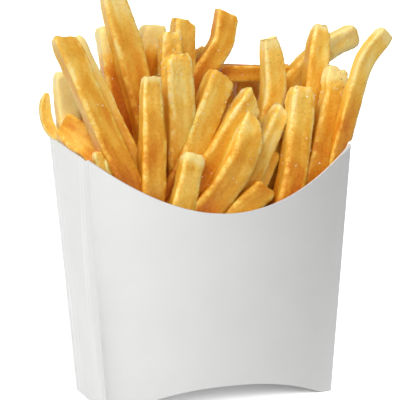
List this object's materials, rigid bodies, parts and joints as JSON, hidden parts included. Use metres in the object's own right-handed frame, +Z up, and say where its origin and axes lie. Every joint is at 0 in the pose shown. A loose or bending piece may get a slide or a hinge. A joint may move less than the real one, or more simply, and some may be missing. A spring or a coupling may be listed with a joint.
{
  "type": "french fries in a carton",
  "caption": "French fries standing in a plain white folded paperboard carton with a dipped front rim, flat side gussets and an arched bottom.",
  "frame": {"origin": "on the surface that the carton stands on, at the middle of the outer box of carton and fries", "axes": "+Z up, -Y towards the front with its dipped rim, +X to the right as seen from the front"},
  "size_m": [0.1315, 0.0702, 0.1571],
  "materials": {
    "paperboard": "matt white bleached paperboard, unprinted",
    "fried_potato": "golden fried potato with a thin oily satin crust"
  },
  "bodies": {
    "root": {"carton": "paperboard", "fries": "fried_potato"}
  },
  "joints": []
}
